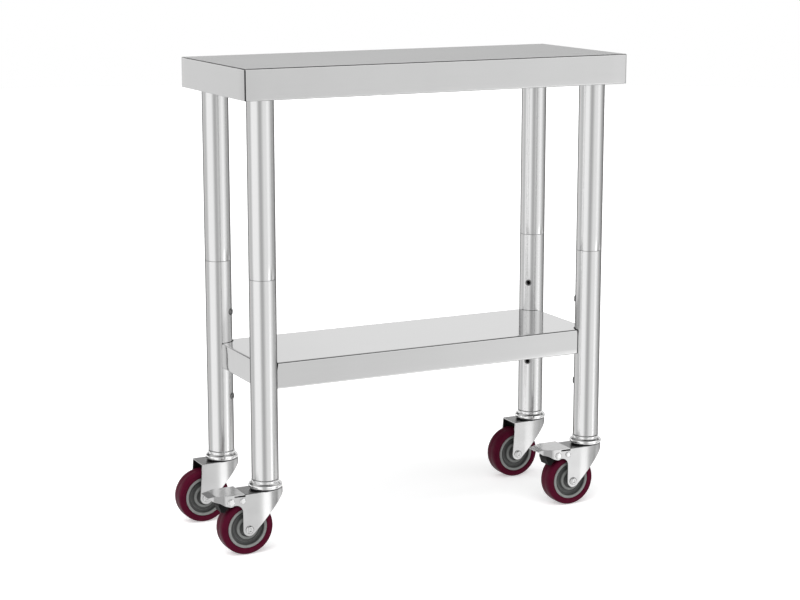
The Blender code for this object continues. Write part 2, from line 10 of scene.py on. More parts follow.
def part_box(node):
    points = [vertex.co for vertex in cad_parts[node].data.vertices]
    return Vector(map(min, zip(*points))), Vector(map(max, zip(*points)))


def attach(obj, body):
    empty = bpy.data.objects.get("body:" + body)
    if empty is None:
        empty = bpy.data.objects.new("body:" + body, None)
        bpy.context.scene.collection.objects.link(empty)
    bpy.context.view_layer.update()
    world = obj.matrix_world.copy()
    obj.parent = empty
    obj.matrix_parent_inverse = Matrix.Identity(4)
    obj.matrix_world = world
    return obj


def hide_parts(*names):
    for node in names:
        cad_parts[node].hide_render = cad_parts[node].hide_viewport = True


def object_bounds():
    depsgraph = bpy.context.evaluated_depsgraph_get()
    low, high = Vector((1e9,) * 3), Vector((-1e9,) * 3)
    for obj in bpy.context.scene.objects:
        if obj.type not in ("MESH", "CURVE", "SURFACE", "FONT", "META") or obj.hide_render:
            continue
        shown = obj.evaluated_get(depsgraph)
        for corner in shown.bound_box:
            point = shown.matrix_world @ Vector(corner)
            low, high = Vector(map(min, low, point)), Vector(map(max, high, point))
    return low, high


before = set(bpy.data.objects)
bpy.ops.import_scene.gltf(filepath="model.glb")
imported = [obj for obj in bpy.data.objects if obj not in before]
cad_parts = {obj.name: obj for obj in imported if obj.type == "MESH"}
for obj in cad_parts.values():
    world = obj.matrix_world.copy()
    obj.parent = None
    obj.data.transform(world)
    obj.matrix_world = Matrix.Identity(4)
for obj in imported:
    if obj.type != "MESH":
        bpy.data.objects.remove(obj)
cad_low, cad_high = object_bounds()

CORNERS = {"fl": (-1, -1), "fr": (1, -1), "bl": (-1, 1), "br": (1, 1)}
INWARD = {name: math.atan2(-sign_y, -sign_x) for name, (sign_x, sign_y) in CORNERS.items()}
BRAKED = ("fl", "fr")

# Sheet metal of the worktop and the undershelf.
SHEET = 0.0012
CUT_EDGE = 0.0002
FOLD = 0.0028
FLAT_START = FOLD + 0.004
CHANNEL_HALF = 0.022
CHANNEL_BEND = 0.0016
TOP_LIP = 0.012
SHELF_LIP = 0.010
MITRE_GAP = 0.0048
CORNER_EASE = 0.0006
SHELF_LEG_CUT = 0.0246
SHELF_CORNER_CUT = 0.0263
GUSSET_FACE = 0.0261
GUSSET_THICK = 0.0018
GUSSET_END = 0.0044
# Near-black strips behind the worktop's open corners, painted shade seen through the seams.
SHADE_BACKING_HALF = 0.0020
SHADE_BACKING_FRONT = 0.0023
SHADE_BACKING_THICK = 0.0022

# Legs and their threaded inserts.
LEG_RADIUS = 0.024
LEG_BORE = 0.0225
INSERT_PITCH = 0.080
INSERT_MIDDLE_Z = 0.317
INSERT_HEIGHTS = [INSERT_MIDDLE_Z + step * INSERT_PITCH for step in (-1, 0, 1)]
INSERT_FACE = 0.0258
INSERT_RADIUS = 0.0062
INSERT_BORE = 0.0040
INSERT_DEPTH = 0.0113
INSERT_THREAD = 0.0009
SLEEVE_WALL = 0.0016
SOCKET_PLATE = 0.0025
BOLT_CORNER = 0.0064
BOLT_HEAD = 0.0048
BOLT_THREAD = 0.0008

# Caster, measured from the swivel axis.
TRAIL = 0.041
AXLE_Z = 0.0495 * math.cos(math.pi / 32)
WHEEL_RADIUS = 0.0492
TYRE_BORE = 0.0370
FORK_TOP_Z = 0.1146
FORK_SHEET = 0.0025
FORK_HALF = 0.025
FORK_NOSE_REACH = 0.0325
FORK_FLAT_END = -0.028
FORK_REAR = -0.048
FORK_RIM = 0.0022
NOSE_LOW = (0.0330, 0.1060)
NOSE_STEPS = 28
AXLE_END_RADIUS = 0.0120
AXLE_THREAD = 0.0008
NUT_CORNER = 0.013 / math.sqrt(3)
PIVOT = (-0.076, 0.104)
STOP = (-0.0535, 0.1035)
ARM_END_RADIUS = 0.0075
ARM_FILLET = 0.014
ARM_SLOT_Z = 0.1105
PEDAL_SHEET = 0.002
PEDAL_PLATE = 0.0105
PEDAL_HALF = FORK_HALF + 0.0004 + PEDAL_SHEET
PEDAL_FRONT = 0.0255
PEDAL_BEND = -0.026
PEDAL_END = -0.040
PEDAL_END_RISE = 0.0105
SHOE_HALF = 0.014
SHOE_CLEARANCE = 0.0055

LATHE_STEPS = 96
TYRE_STEPS = 128
SMALL_STEPS = 40
ALONG_Y = Matrix.Rotation(-math.pi / 2, 4, "X")
GRAIN = "grain"


def middle_of(node):
    low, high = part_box(node)
    return (low + high) / 2


def top_middle_of(node):
    low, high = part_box(node)
    return ((low.x + high.x) / 2, (low.y + high.y) / 2, high.z)


# ---------------------------------------------------------------- mesh tools


def arc(centre, radius, start, end, steps):
    """Points on an arc, angles in degrees."""
    points = []
    for step in range(steps + 1):
        angle = math.radians(start + (end - start) * step / steps)
        points.append((centre[0] + radius * math.cos(angle), centre[1] + radius * math.sin(angle)))
    return points


def fillet(corners, steps=4, closed=False):
    """Rounds a path of (a, b, radius) corners into (a, b) points."""
    out = []
    count = len(corners)
    for i, (a, b, radius) in enumerate(corners):
        at_end = not closed and i in (0, count - 1)
        if radius <= 0 or at_end:
            out.append((a, b))
            continue
        here = Vector((a, b))
        before = Vector(corners[i - 1][:2]) - here
        after = Vector(corners[(i + 1) % count][:2]) - here
        half = before.angle(after) / 2
        reach = min(radius / math.tan(half), 0.45 * before.length, 0.45 * after.length)
        size = reach * math.tan(half)
        u = before.normalized()
        v = after.normalized()
        centre = here + (u + v).normalized() * (size / math.sin(half))
        first = here + u * reach - centre
        last = here + v * reach - centre
        start = math.atan2(first.y, first.x)
        sweep = math.atan2(last.y, last.x) - start
        sweep = (sweep + math.pi) % (2 * math.pi) - math.pi
        for step in range(steps + 1):
            angle = start + sweep * step / steps
            out.append((centre.x + size * math.cos(angle), centre.y + size * math.sin(angle)))
    return out


def run_along(path):
    """Distance from the path's start to each of its points."""
    along = [0.0]
    for start, end in zip(path, path[1:]):
        along.append(along[-1] + math.dist(start, end))
    return along


def lathe(profile, segments=LATHE_STEPS, closed=False):
    """Turns (radius, height) points about Z, with the grain running round."""
    bm = bmesh.new()
    uv = bm.loops.layers.uv.new(GRAIN)
    widest = max(radius for radius, _ in profile)
    rings = []
    for radius, height in profile:
        if radius < 1e-7:
            rings.append([bm.verts.new((0, 0, height))])
            continue
        ring = []
        for k in range(segments):
            angle = 2 * math.pi * k / segments
            ring.append(bm.verts.new((radius * math.cos(angle), radius * math.sin(angle), height)))
        rings.append(ring)
    along = run_along(profile)
    pairs = [(i, i + 1) for i in range(len(rings) - 1)]
    if closed:
        pairs.append((len(rings) - 1, 0))
    step_u = 2 * math.pi * widest / segments
    for i, j in pairs:
        low, high = rings[i], rings[j]
        v0 = along[i]
        v1 = along[j] if j > i else along[i] + 0.001
        for k in range(segments):
            m = (k + 1) % segments
            if len(low) == 1:
                spots = [(low[0], k + 0.5, v0), (high[m], k + 1, v1), (high[k], k, v1)]
            elif len(high) == 1:
                spots = [(low[k], k, v0), (low[m], k + 1, v0), (high[0], k + 0.5, v1)]
            else:
                spots = [
                    (low[k], k, v0), (low[m], k + 1, v0), (high[m], k + 1, v1), (high[k], k, v1)
                ]
            face = bm.faces.new([spot[0] for spot in spots])
            for loop, spot in zip(face.loops, spots):
                loop[uv].uv = (spot[1] * step_u, spot[2])
    bmesh.ops.recalc_face_normals(bm, faces=bm.faces)
    return bm


def prism(points, low, high, axis="Z"):
    """Extrudes a flat outline: (x, y) along Z, or (x, z) along Y."""
    bm = bmesh.new()
    if axis == "Z":
        verts = [bm.verts.new((x, y, low)) for x, y in points]
        step = Vector((0, 0, high - low))
    else:
        verts = [bm.verts.new((x, low, z)) for x, z in points]
        step = Vector((0, high - low, 0))
    face = bm.faces.new(verts)
    grown = bmesh.ops.extrude_face_region(bm, geom=[face])
    moved = [item for item in grown["geom"] if isinstance(item, bmesh.types.BMVert)]
    bmesh.ops.translate(bm, verts=moved, vec=step)
    bmesh.ops.recalc_face_normals(bm, faces=bm.faces)
    return bm


def turned(bm, matrix):
    bmesh.ops.transform(bm, matrix=matrix, verts=bm.verts)
    return bm


def along_x(height):
    """Turns a shape made along Z to lie along X at a height."""
    return Matrix.Translation((0, 0, height)) @ Matrix.Rotation(math.pi / 2, 4, "Y")


def rod(radius, low, high):
    return lathe([(0, low), (radius, low), (radius, high), (0, high)], SMALL_STEPS)


def hexagon(corner):
    return [(corner * math.cos(math.pi / 3 * k), corner * math.sin(math.pi / 3 * k)) for k in range(6)]


def mirrored(points):
    """A path, then the same path back on the other side of its second number's zero."""
    return points + [(first, -second, *ease) for first, second, *ease in reversed(points)]


def mesh_of(bm, name="solid"):
    mesh = bpy.data.meshes.new(name)
    bm.to_mesh(mesh)
    bm.free()
    return mesh


def bmesh_of(mesh):
    bm = bmesh.new()
    bm.from_mesh(mesh)
    bpy.data.meshes.remove(mesh)
    return bm


def joined(parts):
    """One bmesh out of several, their grain kept."""
    whole = bmesh.new()
    for part in parts:
        mesh = mesh_of(part)
        whole.from_mesh(mesh)
        bpy.data.meshes.remove(mesh)
    return whole


def linked(name, data):
    """A new object in the scene."""
    obj = bpy.data.objects.new(name, data)
    bpy.context.scene.collection.objects.link(obj)
    return obj


def solid(bm):
    return linked("solid", mesh_of(bm))


def evaluated(obj):
    """A new mesh of the object with its modifiers in."""
    graph = bpy.context.evaluated_depsgraph_get()
    return bpy.data.meshes.new_from_object(obj.evaluated_get(graph))


def settled(mesh):
    """The mesh with its points, faces and corners in a fixed order, which a cut leaves to chance."""
    order = sorted(range(len(mesh.vertices)), key=lambda index: tuple(mesh.vertices[index].co))
    rank = {old: new for new, old in enumerate(order)}
    grain = mesh.uv_layers.get(GRAIN)
    rows = []
    for face in mesh.polygons:
        ring = [
            (rank[mesh.loops[k].vertex_index], tuple(grain.data[k].uv) if grain else ())
            for k in face.loop_indices
        ]
        first = ring.index(min(ring))
        rows.append((ring[first:] + ring[:first], face.material_index))
    rows.sort()
    fixed = bpy.data.meshes.new("cut")
    points = [mesh.vertices[index].co for index in order]
    fixed.from_pydata(points, [], [[corner for corner, _ in ring] for ring, _ in rows])
    for material in mesh.materials:
        fixed.materials.append(material)
    layer = fixed.uv_layers.new(name=GRAIN) if grain else None
    for face, (ring, index) in zip(fixed.polygons, rows):
        face.material_index = index
        for k, (_, uv) in zip(face.loop_indices, ring):
            if layer:
                layer.data[k].uv = uv
    bpy.data.meshes.remove(mesh)
    return fixed


def combine(target, tool, operation):
    modifier = target.modifiers.new("combine", "BOOLEAN")
    modifier.operation = operation
    modifier.solver = "EXACT"
    if tool.data.materials:
        modifier.material_mode = "TRANSFER"
    modifier.object = tool
    result = evaluated(target)
    target.modifiers.clear()
    target.data = settled(result)
    bpy.data.objects.remove(tool, do_unlink=True)


def applied(obj):
    """The object's mesh with its modifiers in, and the object gone."""
    mesh = evaluated(obj)
    bpy.data.objects.remove(obj, do_unlink=True)
    return mesh


def grain_by_box(mesh):
    """Grain map that follows each face's own plane, along X where the face allows it."""
    layer = mesh.uv_layers.get(GRAIN) or mesh.uv_layers.new(name=GRAIN)
    for face in mesh.polygons:
        normal = face.normal
        u, v = (0, 1) if abs(normal.z) > 0.7 else (0, 2) if abs(normal.y) > 0.5 else (1, 2)
        for index in face.loop_indices:
            spot = mesh.vertices[mesh.loops[index].vertex_index].co
            layer.data[index].uv = (spot[u], spot[v])


def all_smooth(mesh):
    for face in mesh.polygons:
        face.use_smooth = True


def smooth(mesh, degrees=32):
    """Smooth shading, sharp where faces meet at more than the angle."""
    all_smooth(mesh)
    mesh.set_sharp_from_angle(angle=math.radians(degrees))
    return mesh


def softened(obj, width, segments=2, degrees=30):
    """Rounds an object's edges and returns the mesh, the object gone."""
    bevel = obj.modifiers.new("edges", "BEVEL")
    bevel.width = width
    bevel.segments = segments
    bevel.limit_method = "ANGLE"
    bevel.angle_limit = math.radians(degrees)
    bevel.use_clamp_overlap = False
    bevel.miter_outer = "MITER_ARC"
    weighted = obj.modifiers.new("shading", "WEIGHTED_NORMAL")
    weighted.keep_sharp = True
    all_smooth(obj.data)
    return applied(obj)


def finished(obj, width, degrees):
    """Softened, smooth and grained, as every cut part of a caster is."""
    mesh = smooth(softened(obj, width, 3, degrees))
    grain_by_box(mesh)
    return mesh


def add_sheet(obj, offset):
    """Gives a skin the sheet's thickness: inwards at -1, to both sides at 0."""
    shell = obj.modifiers.new("sheet", "SOLIDIFY")
    shell.thickness = SHEET
    shell.offset = offset
    shell.use_even_offset = True


def piece(name, mesh, look, body, node, at=(0, 0, 0), turn=0.0):
    """Places a mesh in the frame, instead of its CAD node if it has one."""
    obj = linked(name, mesh)
    if not mesh.materials:
        mesh.materials.append(MATERIALS[look])
    obj.location = at
    obj.rotation_euler = (0, 0, turn)
    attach(obj, body)
    if node:
        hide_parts(node)


# ---------------------------------------------------------------- materials


class Graph:
    """Short calls for the shader nodes used here."""

    def __init__(self, tree):
        self.nodes = tree.nodes
        self.links = tree.links

    def join(self, value, socket):
        """Sets a socket to a number, or links another node's output to it."""
        if isinstance(value, (int, float, tuple)):
            socket.default_value = value
        else:
            self.links.new(value, socket)

    def put(self, kind, inputs, **settings):
        """The outputs of a new node, its inputs set or linked."""
        node = self.nodes.new(kind)
        for key, value in settings.items():
            setattr(node, key, value)
        for key, value in inputs.items():
            self.join(value, node.inputs[key])
        return node.outputs

    def math(self, operation, first, second):
        return self.put("ShaderNodeMath", {0: first, 1: second}, operation=operation)["Value"]

    def vector(self, operation, first, second=(0, 0, 0)):
        return self.put("ShaderNodeVectorMath", {0: first, 1: second}, operation=operation)

    def span(self, value, low, high, to_low, to_high, curve="LINEAR"):
        inputs = {"Value": value, "From Min": low, "From Max": high, "To Min": to_low, "To Max": to_high}
        return self.put("ShaderNodeMapRange", inputs, interpolation_type=curve)["Result"]


class Shader(Graph):
    """A material and its Principled node."""

    def __init__(self, name, colour, metallic, roughness, tint=(1, 1, 1)):
        self.made = bpy.data.materials.new(name)
        self.made.use_nodes = True
        super().__init__(self.made.node_tree)
        self.principled = self.nodes["Principled BSDF"]
        self.set("Base Color", (*colour, 1))
        self.set("Metallic", metallic)
        self.set("Roughness", roughness)
        self.set("Specular Tint", (*tint, 1))

    def set(self, socket, value):
        self.join(value, self.principled.inputs[socket])

    def grain(self):
        return self.put("ShaderNodeUVMap", {}, uv_map=GRAIN)["UV"]

    def space(self):
        return self.put("ShaderNodeTexCoord", {})["Object"]

    def noise(self, source, scale, stretch=(1, 1, 1), detail=3, rough=0.5, distort=0.0, move=0.0):
        moved = {"Scale": stretch, "Location": (move, move * 0.7, move * 1.3), "Vector": source}
        spot = self.put("ShaderNodeMapping", moved)["Vector"]
        inputs = {"Vector": spot, "Scale": scale, "Detail": detail, "Roughness": rough, "Distortion": distort}
        return self.put("ShaderNodeTexNoise", inputs)["Fac"]

    def blend(self, factor, first, second, **settings):
        """Mixes two colours or outputs."""
        first, second = ((*side, 1) if isinstance(side, tuple) else side for side in (first, second))
        inputs = {"Factor": factor, 6: first, 7: second}
        return self.put("ShaderNodeMix", inputs, data_type="RGBA", **settings)[2]

    def bump(self, height, strength, distance, normal=None):
        inputs = {"Strength": strength, "Distance": distance, "Height": height}
        if normal is not None:
            inputs["Normal"] = normal
        return self.put("ShaderNodeBump", inputs)["Normal"]


def grey(tone):
    return (tone, tone, tone)


def shade(colour, factor):
    return tuple(min(1.0, channel * factor) for channel in colour)


def steel(name, colour, roughness, grain=1.0, blotch=1.0, edge=1.0, lines=700.0):
    """Ground stainless sheet: fine lines along the grain, faint cloudiness and a few rubs."""
    made = Shader(name, colour, 1.0, roughness, grey(edge))
    along = made.grain()
    fine = made.noise(along, lines, (0.012, 1, 1), detail=4, rough=0.65)
    wide = made.noise(along, lines / 7, (0.02, 1, 1), rough=0.6, move=3.1)
    cloud = made.noise(made.space(), 6.0, detail=4, rough=0.6)
    rubs = made.noise(along, 60.0, (0.08, 1, 1), detail=2, move=9.7)
    tone = made.math("ADD", made.span(fine, 0.3, 0.7, -0.5, 0.5), made.span(wide, 0.3, 0.7, -0.5, 0.5))
    tone = made.math("MULTIPLY", tone, 0.30 * grain)
    tone = made.math("ADD", tone, made.span(cloud, 0.3, 0.7, -0.22 * blotch, 0.22 * blotch))
    mixed = made.blend(made.span(tone, -0.5, 0.5, 0, 1), shade(colour, 0.90), shade(colour, 1.09))
    made.set("Base Color", mixed)
    rough = made.math("ADD", made.span(cloud, 0.3, 0.7, -0.030 * blotch, 0.035 * blotch), roughness)
    rough = made.math("ADD", rough, made.span(wide, 0.3, 0.7, -0.020 * grain, 0.020 * grain))
    rough = made.math("ADD", rough, made.span(rubs, 0.62, 0.78, 0.0, 0.06 * grain))
    made.set("Roughness", rough)
    height = made.math("ADD", fine, made.math("MULTIPLY", wide, 0.7))
    lined = made.bump(height, 0.10 * grain, 0.0004)
    made.set("Normal", made.bump(cloud, 0.05 * blotch, 0.004, lined))
    return made.made


def plated(name, colour, roughness, speckle=1.0, edge=1.0):
    """Zinc or chrome plate over pressed steel: soft mottling, pits and faint handling marks."""
    made = Shader(name, colour, 1.0, roughness, grey(edge))
    space = made.space()
    mottle = made.noise(space, 55.0, detail=5, rough=0.6)
    spots = made.noise(space, 900.0, detail=2, move=2.3)
    marks = made.noise(space, 120.0, (1, 1, 6), rough=0.6, distort=0.4, move=5.9)
    tone = made.span(mottle, 0.3, 0.7, 0, 1)
    made.set("Base Color", made.blend(tone, shade(colour, 1 - 0.07 * speckle), shade(colour, 1.05)))
    rough = made.math("ADD", made.span(mottle, 0.3, 0.7, -0.03 * speckle, 0.04 * speckle), roughness)
    rough = made.math("ADD", rough, made.span(marks, 0.60, 0.75, 0.0, 0.07 * speckle))
    made.set("Roughness", rough)
    fine = made.bump(spots, 0.06 * speckle, 0.0003)
    made.set("Normal", made.bump(mottle, 0.05 * speckle, 0.0010, fine))
    return made.made


def polyurethane(name, colour, roughness):
    """Cast tyre: deep colour, faint mould flow, a little dust and a soft red sheen."""
    made = Shader(name, colour, 0.0, roughness, (1.0, 0.5, 0.62))
    space = made.space()
    flow = made.noise(space, 40.0, (1, 0.3, 1), detail=4, rough=0.6, distort=0.8)
    grit = made.noise(space, 1300.0, detail=2, rough=0.6, move=4.4)
    dust = made.noise(space, 210.0, detail=4, rough=0.7, move=1.2)
    dusty = (colour[0] * 1.3 + 0.006, colour[1] * 1.4 + 0.004, colour[2] * 1.4 + 0.006)
    mixed = made.blend(made.span(flow, 0.32, 0.68, 0, 1), shade(colour, 0.86), shade(colour, 1.14))
    made.set("Base Color", made.blend(made.span(dust, 0.60, 0.80, 0, 0.45), mixed, dusty))
    rough = made.math("ADD", made.span(flow, 0.3, 0.7, -0.05, 0.06), roughness)
    made.set("Roughness", made.math("ADD", rough, made.span(dust, 0.55, 0.80, 0.0, 0.14)))
    fine = made.bump(grit, 0.10, 0.0003)
    made.set("Normal", made.bump(flow, 0.06, 0.0010, fine))
    made.set("Specular IOR Level", TYRE_GLOSS)
    return made.made


def moulded(name, colour, roughness, grit=1.0, gloss=0.5, rings=()):
    """Moulded plastic or rubber with a fine texture; rings are (outer radius, tone) about Y, tones that
    change the colour by radius, used as painted shade in recesses.
    """
    made = Shader(name, colour, 0.0, roughness)
    space = made.space()
    cells = made.noise(space, 1500.0, rough=0.6)
    cloud = made.noise(space, 70.0, detail=4, rough=0.6, move=6.1)
    mixed = made.blend(made.span(cloud, 0.3, 0.7, 0, 1), shade(colour, 0.85), shade(colour, 1.15))
    # Tones by radius: painted shade in the hub's recessed dishes.
    if rings:
        reach = made.vector("LENGTH", made.vector("MULTIPLY", space, (1, 0, 1))["Vector"])["Value"]
        tone = rings[0][1]
        for (radius, before), (_, after) in zip(rings, rings[1:]):
            step = made.span(reach, radius - RING_BLUR, radius + RING_BLUR, 0, after - before)
            tone = made.math("ADD", step, tone)
        level = made.put("ShaderNodeCombineColor", {0: tone, 1: tone, 2: tone})["Color"]
        mixed = made.blend(1.0, mixed, level, blend_type="MULTIPLY")
    made.set("Base Color", mixed)
    made.set("Roughness", made.math("ADD", made.span(cloud, 0.3, 0.7, -0.06, 0.06), roughness))
    made.set("Normal", made.bump(cells, 0.18 * grit, 0.0004))
    made.set("Specular IOR Level", gloss)
    return made.made


TYRE_GLOSS = 0.05
RING_BLUR = 0.0002
# Hub tones as (radius where this tone ends, share of the hub's colour), from the boss outwards: painted
# shade, darker in the recessed dishes and lighter on the raised ring and rim.
HUB_SHADE_RINGS = [
    (0.0095, 0.25), (0.0158, 0.35), (0.0206, 1.0), (0.0256, 0.38), (0.0266, 0.75), (0.0314, 0.35),
    (1, 1.25),
]

# Where the frame already has a material of the same name, Blender adds a dot and a number.
MATERIALS = {made.name.partition(".")[0]: made for made in (
    steel("worktop_steel", grey(0.66), 0.24, 0.30, 0.5, lines=900),
    steel("shelf_steel", grey(0.66), 0.08, 0.20, 0.3, lines=900),
    steel("leg_steel", grey(0.84), 0.20, 0.15, 0.08, edge=0.02, lines=500),
    # Near-black painted shade behind the worktop's corner seams.
    moulded("seam_painted_shade", grey(0.010), 0.6, gloss=0.2),
    steel("inner_steel", (0.50, 0.51, 0.52), 0.42, 0.8, 1.4),
    plated("channel_zinc", (0.52, 0.53, 0.545), 0.40, 1.6),
    plated("bolt_zinc", grey(0.72), 0.22, 0.6),
    plated("insert_black", grey(0.26), 0.30, 1.0),
    plated("mount_chrome", grey(0.94), 0.11, 0.3),
    plated("fork_zinc", grey(0.66), 0.15, 0.15, edge=0.4),
    # Near-black inside of the fork hood: painted shade.
    plated("fork_inside_painted_shade", grey(0.07), 0.45, 1.0),
    plated("rivet_zinc", grey(0.93), 0.22, 0.3),
    plated("race_steel", (0.06, 0.06, 0.065), 0.45, 1.0),
    plated("pedal_zinc", grey(0.72), 0.17, 0.2),
    polyurethane("tyre_polyurethane", (0.060, 0.0042, 0.0150), 0.36),
    # Hub colour darkened by radius in its recessed dishes: painted shade.
    moulded("hub_plastic", (0.15, 0.155, 0.15), 0.45, rings=HUB_SHADE_RINGS),
    moulded("shoe_rubber", grey(0.006), 0.55, 1.6, gloss=0.12),
)}


# ---------------------------------------------------------------- sheet pans


def fold_section(height, lip, steps=6):
    """(inward, below) points from the flat top, over the fold, down the apron, to the lip's end."""
    points = [(FLAT_START, 0.0)]
    for step in range(steps + 1):
        angle = math.pi / 2 * step / steps
        points.append((FOLD * (1 - math.sin(angle)), FOLD * (1 - math.cos(angle))))
    for share in (0.25, 0.5, 0.75):
        points.append((0.0, FOLD + (height - 2 * FOLD) * share))
    for step in range(steps + 1):
        angle = math.pi / 2 * step / steps
        points.append((FOLD * (1 - math.cos(angle)), height - FOLD + FOLD * math.sin(angle)))
    points.append((lip, height))
    return points


def pan(length, width, height, lip, end_of, corner_of, end_steps):
    """Outer skin of a folded pan, its top at z = 0: four folded strips and the flat between them."""
    bm = bmesh.new()
    uv = bm.loops.layers.uv.new(GRAIN)
    section = fold_section(height, lip)
    along = run_along(section)
    rim = []
    for side in range(4):
        lengthwise = side % 2 == 0
        half_across = (width if lengthwise else length) / 2
        turn = Matrix.Rotation(math.pi / 2 * side, 3, "Z")
        rows = []
        for (inward, below), run in zip(section, along):
            half, ease = end_of(lengthwise, inward, below)
            spots = []
            count = 24 if lengthwise else 12
            quarter = [math.pi / 2 * k / end_steps for k in range(end_steps)]
            rounded = [-half + ease * (1 - math.cos(angle)) for angle in quarter]
            start = -half + ease
            inner = [start + (-2 * start) * k / count for k in range(count + 1)]
            for t in rounded + inner + [-t for t in reversed(rounded)]:
                near = half - abs(t)
                pull = 0.0
                if ease and near < ease:
                    pull = ease - math.sqrt(max(0.0, ease * ease - (ease - near) ** 2))
                local = Vector((t, -half_across + inward + pull, -below))
                world = turn @ local
                flat = turn @ Vector((t, -half_across + inward if run == 0 else -half_across - run, 0))
                spots.append((bm.verts.new(world), (flat.x, flat.y)))
            rows.append(spots)
        for upper, lower in zip(rows, rows[1:]):
            for k in range(len(upper) - 1):
                ring = (upper[k], lower[k], lower[k + 1], upper[k + 1])
                face = bm.faces.new([spot[0] for spot in ring])
                for loop, spot in zip(face.loops, ring):
                    loop[uv].uv = spot[1]
        rim.append([spot[0] for spot in rows[0]])
    outline = []
    for side in range(4):
        outline += [vert.co.copy() for vert in rim[side]]
        outline += corner_of(side)
    clean = []
    for spot in outline:
        if not clean or (spot - clean[-1]).length > 1e-6:
            clean.append(spot)
    if (clean[0] - clean[-1]).length < 1e-6:
        clean.pop()
    face = bm.faces.new([bm.verts.new(spot) for spot in clean])
    for loop in face.loops:
        loop[uv].uv = (loop.vert.co.x, loop.vert.co.y)
    bmesh.ops.remove_doubles(bm, verts=bm.verts, dist=1e-6)
    bmesh.ops.recalc_face_normals(bm, faces=bm.faces)
    top = max(bm.faces, key=lambda one: one.calc_area())
    if top.normal.z < 0:
        bmesh.ops.reverse_faces(bm, faces=bm.faces)
    return bm


def thick_sheet(bm):
    obj = solid(bm)
    add_sheet(obj, -1)
    all_smooth(obj.data)
    return smooth(applied(obj), 40)


def corner_shade_backing(size):
    """Near-black strips run down behind the open corners, seen through the seams: painted shade standing for
    the dark inside of the pan.
    """
    outline = [
        (-SHADE_BACKING_HALF, SHADE_BACKING_FRONT), (SHADE_BACKING_HALF, SHADE_BACKING_FRONT),
        (SHADE_BACKING_HALF, SHADE_BACKING_FRONT + SHADE_BACKING_THICK), (-SHADE_BACKING_HALF, SHADE_BACKING_FRONT + SHADE_BACKING_THICK),
    ]
    beads = []
    for name, (sign_x, sign_y) in CORNERS.items():
        bead = prism(outline, -size.z + 0.0006, -FOLD * 0.7)
        spot = Matrix.Translation((sign_x * size.x / 2, sign_y * size.y / 2, 0))
        beads.append(turned(bead, spot @ Matrix.Rotation(INWARD[name] - math.pi / 2, 4, "Z")))
    return joined(beads)


def worktop():
    low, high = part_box("worktop")
    size = high - low

    def end_of(lengthwise, inward, below):
        half = (size.x if lengthwise else size.y) / 2
        opening = min(1.0, below / FOLD)
        return half - inward - MITRE_GAP / 2 * opening, CORNER_EASE * opening

    skin = bmesh_of(thick_sheet(pan(size.x, size.y, size.z, TOP_LIP, end_of, lambda side: [], 4)))
    skin_faces = len(skin.faces)
    mesh = mesh_of(joined([skin, corner_shade_backing(size)]))
    mesh.materials.append(MATERIALS["worktop_steel"])
    mesh.materials.append(MATERIALS["seam_painted_shade"])
    # The faces after the skin's are the strips of near-black painted shade.
    for face in mesh.polygons[skin_faces:]:
        face.material_index = 1
    at = top_middle_of("worktop")
    piece("worktop_skin", mesh, "worktop_steel", "frame", "worktop", at)


def gusset(facing):
    """Bolted plate across a shelf corner, its face towards the leg at the local origin."""
    near = GUSSET_FACE
    far = GUSSET_FACE + GUSSET_THICK
    reach = math.sqrt(2) * GUSSET_END
    low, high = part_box("undershelf")
    outline = [(near, -near - reach), (far, -far - reach), (far, far + reach), (near, near + reach)]
    plate = solid(prism(outline, low.z + SHEET + 0.0001, high.z - SHEET - 0.0001))
    combine(plate, solid(turned(rod(0.0042, 0.020, 0.034), along_x(INSERT_MIDDLE_Z))), "DIFFERENCE")
    mesh = softened(plate, CUT_EDGE)
    grain_by_box(mesh)
    return turned(bmesh_of(mesh), facing)


def undershelf():
    low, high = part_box("undershelf")
    size = high - low
    middle = (low + high) / 2
    leg = middle_of("leg_upper_br") - middle
    legs = {True: (leg.x, leg.y), False: (leg.y, leg.x)}
    halves = {True: (size.x / 2, size.y / 2), False: (size.y / 2, size.x / 2)}

    def cut_radius(below):
        share = min(1.0, max(0.0, (below - FOLD) / 0.002))
        return SHELF_CORNER_CUT + (SHELF_LEG_CUT - SHELF_CORNER_CUT) * share

    def end_of(lengthwise, inward, below):
        leg_along, leg_across = legs[lengthwise]
        off = halves[lengthwise][1] - inward - leg_across
        radius = cut_radius(below)
        return leg_along - math.sqrt(radius * radius - off * off), 0.0

    def corner_of(side):
        """Points round the leg at the far end of this side's strip."""
        lengthwise = side % 2 == 0
        leg_along, leg_across = legs[lengthwise]
        off = halves[lengthwise][1] - FLAT_START - leg_across
        reach = math.sqrt(SHELF_CORNER_CUT ** 2 - off * off)
        start = math.degrees(math.atan2(-off, -reach)) % 360
        end = math.degrees(math.atan2(reach, off))
        turn = Matrix.Rotation(math.pi / 2 * side, 3, "Z")
        points = arc((leg_along, -leg_across), SHELF_CORNER_CUT, start, end, 24)
        return [turn @ Vector((x, y, 0)) for x, y in points]

    skin = bmesh_of(thick_sheet(pan(size.x, size.y, size.z, SHELF_LIP, end_of, corner_of, 0)))
    parts = [turned(skin, Matrix.Translation((middle.x, middle.y, high.z)))]
    for name in CORNERS:
        at = middle_of("leg_upper_" + name)
        spot = Matrix.Translation((at.x, at.y, 0))
        parts.append(gusset(spot @ Matrix.Rotation(INWARD[name], 4, "Z")))
    mesh = smooth(mesh_of(joined(parts)), 40)
    piece("undershelf_skin", mesh, "shelf_steel", "frame", "undershelf")


